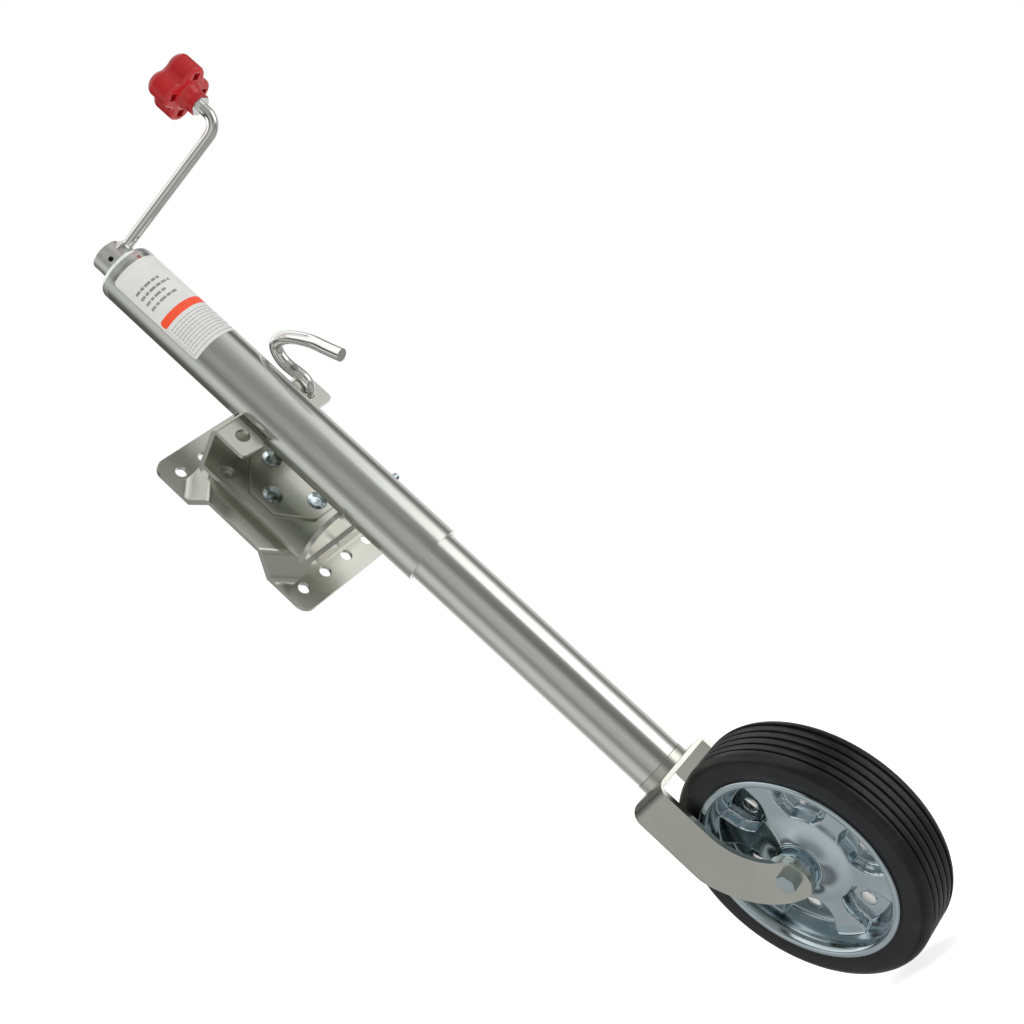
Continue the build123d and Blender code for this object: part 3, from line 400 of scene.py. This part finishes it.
def rivet_heads():
    """The domed heads of the six rivets on both faces of the wheel."""
    verts, faces = [], []
    for side in (-1, 1):
        for k in range(RIVETS):
            a = POCKET_TURN + k * STATION
            base = len(verts)
            for r, h in RIVET_HEAD:
                for j in range(RIVET_STEPS):
                    b = 2 * math.pi * j / RIVET_STEPS
                    y = RIVET_CIRCLE_R * math.cos(a) + r * math.cos(b)
                    z = RIVET_CIRCLE_R * math.sin(a) + r * math.sin(b)
                    verts.append(on_wheel(side * h, y, z))
            quads = ring_faces(len(RIVET_HEAD), RIVET_STEPS, side < 0)
            faces += [tuple(n + base for n in quad) for quad in quads]
    obj = piece("rim_rivet_heads", verts, faces, "wheel", M["steel_bright"], sharp=180)
    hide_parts("rim_rivets")


rivet_heads()


# ------------------------------------------------------------------ stage, light and camera
LOW_LIGHT = [                        # (azimuth from the camera's side, brightness) near the horizon
    (-180, 1.10), (-160, 1.18), (-140, 0.70), (-124, 0.37), (-108, 0.42), (-86, 0.68), (-64, 0.63),
    (-50, 0.32), (-40, 0.31), (-26, 0.50), (2, 0.57), (12, 0.33), (24, 0.17), (42, 0.20), (54, 0.32),
    (62, 1.85), (92, 1.57), (102, 0.63), (116, 0.25), (130, 0.28), (142, 0.71), (168, 0.64), (180, 0.90),
]
HIGH_LIGHT = [                       # the same, further up
    (-180, 0.18), (-160, 0.11), (-130, 0.09), (-112, 0.17), (-96, 0.55), (-74, 0.76), (-56, 0.36),
    (-42, 0.21), (-14, 0.40), (14, 0.30), (42, 0.38), (66, 0.53), (84, 0.69), (98, 0.66), (108, 0.22),
    (126, 0.11), (138, 0.41), (154, 0.82), (168, 0.47), (180, 0.20),
]
BANDS = [                            # (sine of the elevation, factor): they give rods and bends contrast
    (-1, 0.8), (-0.75, 0.5), (-0.62, 0.35), (-0.52, 1.0), (0.46, 1.0), (0.52, 0.22), (0.62, 0.22),
    (0.68, 1.5), (0.84, 1.5), (1, 0.9),
]


def world_light():
    """A studio given by azimuth and elevation, with plain white behind the object."""
    world = bpy.data.worlds.new("studio")
    bpy.context.scene.world = world
    world.use_nodes = True
    tree = world.node_tree
    tree.nodes.clear()
    new = tree.nodes.new
    link = tree.links.new

    def map_range(value, low, high, soft=False):
        node = new("ShaderNodeMapRange")
        if soft:
            node.interpolation_type = "SMOOTHSTEP"
        node.inputs["From Min"].default_value = low
        node.inputs["From Max"].default_value = high
        link(value, node.inputs["Value"])
        return node.outputs["Result"]

    def ramp(fac, stops):
        node = new("ShaderNodeValToRGB")
        marks = node.color_ramp.elements
        while len(marks) > 1:
            marks.remove(marks[-1])
        for k, (at, v) in enumerate(stops):
            mark = marks[0] if k == 0 else marks.new(at)
            mark.position = at
            mark.color = (v, v, v, 1)
        link(fac, node.inputs["Fac"])
        return node.outputs["Color"]

    def blend(fac, a, b):
        node = new("ShaderNodeMix")
        node.data_type = "RGBA"
        link(fac, node.inputs["Factor"])
        link(a, node.inputs["A"])
        if isinstance(b, float):
            node.inputs["B"].default_value = (b, b, b, 1)
        else:
            link(b, node.inputs["B"])
        return node.outputs["Result"]

    way = new("ShaderNodeTexCoord").outputs["Generated"]
    split = new("ShaderNodeSeparateXYZ")
    link(way, split.inputs["Vector"])
    up = split.outputs["Z"]
    turn = new("ShaderNodeVectorRotate")
    turn.rotation_type = "Z_AXIS"
    turn.inputs["Angle"].default_value = math.radians(-FACING)
    link(way, turn.inputs["Vector"])
    turned = new("ShaderNodeSeparateXYZ")
    link(turn.outputs["Vector"], turned.inputs["Vector"])
    azimuth = new("ShaderNodeMath")
    azimuth.operation = "ARCTAN2"
    link(turned.outputs["Y"], azimuth.inputs[0])
    link(turned.outputs["X"], azimuth.inputs[1])
    round_about = map_range(azimuth.outputs[0], -math.pi, math.pi)

    low = ramp(round_about, [((deg + 180) / 360, v) for deg, v in LOW_LIGHT])
    high = ramp(round_about, [((deg + 180) / 360, v) for deg, v in HIGH_LIGHT])
    walls = blend(map_range(up, 0.05, 0.32, True), low, high)
    sky = blend(map_range(up, 0.5, 0.85, True), walls, 0.8)
    ground = blend(map_range(up, -0.25, -0.6, True), sky, 0.55)
    bands = ramp(map_range(up, -1.0, 1.0), [((z + 1) / 2, v / 2) for z, v in BANDS])
    banded = new("ShaderNodeVectorMath")
    banded.operation = "MULTIPLY"
    link(ground, banded.inputs[0])
    link(bands, banded.inputs[1])

    studio = new("ShaderNodeBackground")
    studio.inputs["Strength"].default_value = 2.0
    link(banded.outputs["Vector"], studio.inputs["Color"])
    seen = new("ShaderNodeBackground")
    seen.inputs["Color"].default_value = (1, 1, 1, 1)
    both = new("ShaderNodeMixShader")
    link(new("ShaderNodeLightPath").outputs["Is Camera Ray"], both.inputs["Fac"])
    link(studio.outputs["Background"], both.inputs[1])
    link(seen.outputs["Background"], both.inputs[2])
    link(both.outputs["Shader"], new("ShaderNodeOutputWorld").inputs["Surface"])


def lamp(name, place, target, size, power):
    """An area light that isn't seen in reflections."""
    data = bpy.data.lights.new(name, "AREA")
    data.shape = "RECTANGLE"
    data.size, data.size_y = size
    data.energy = power
    obj = bpy.data.objects.new(name, data)
    bpy.context.scene.collection.objects.link(obj)
    obj.location = place
    obj.rotation_euler = (Vector(target) - Vector(place)).to_track_quat("-Z", "Y").to_euler()
    obj.visible_glossy = False


world_light()
middle = (0, -0.08, -0.15)
lamp("key", (-0.2, -2.2, 0.9), middle, (1.6, 1.6), 9)
lamp("fill", (-2.2, -0.6, -0.2), middle, (1.6, 1.6), 5)
lamp("rim_light", (1.6, -0.6, 1.2), middle, (1.2, 1.2), 4)

FLOOR_Z = -0.60
FLOOR_HALF = 6.0
floor_mesh = bpy.data.meshes.new("floor")
corners = [(x * FLOOR_HALF, y * FLOOR_HALF, FLOOR_Z) for x, y in ((-1, -1), (1, -1), (1, 1), (-1, 1))]
floor_mesh.from_pydata(corners, [], [(0, 1, 2, 3)])
floor = bpy.data.objects.new("floor", floor_mesh)
bpy.context.scene.collection.objects.link(floor)
pale = Nodes("floor_pale")
paint = pale.mix(pale.range(pale.noise(3), 0, 1), (0.90, 0.90, 0.90), (0.92, 0.92, 0.92))
pale.set(Base_Color=paint, Roughness=0.9)
pale.set(Emission_Color=(1, 1, 1, 1), Emission_Strength=0.75)
floor_mesh.materials.append(pale.mat)
floor.visible_glossy = False

CAMERA_AT = (-0.7100, -0.9759, -0.3204)
CAMERA_LENS = 51.8
right = Vector((0.57158, -0.37069, -0.73204))
down = Vector((-0.48763, 0.56407, -0.66637))
ahead = Vector((0.65994, 0.73785, 0.14165))
camera_data = bpy.data.cameras.new("camera")
camera_data.sensor_width = 36.0
camera_data.lens = CAMERA_LENS
camera_data.clip_start = 0.05
camera = bpy.data.objects.new("camera", camera_data)
bpy.context.scene.collection.objects.link(camera)
turn = Matrix((right, -down, -ahead)).transposed().to_4x4()
camera.matrix_world = Matrix.Translation(CAMERA_AT) @ turn
bpy.context.scene.camera = camera
bpy.context.scene.view_settings.view_transform = "Standard"
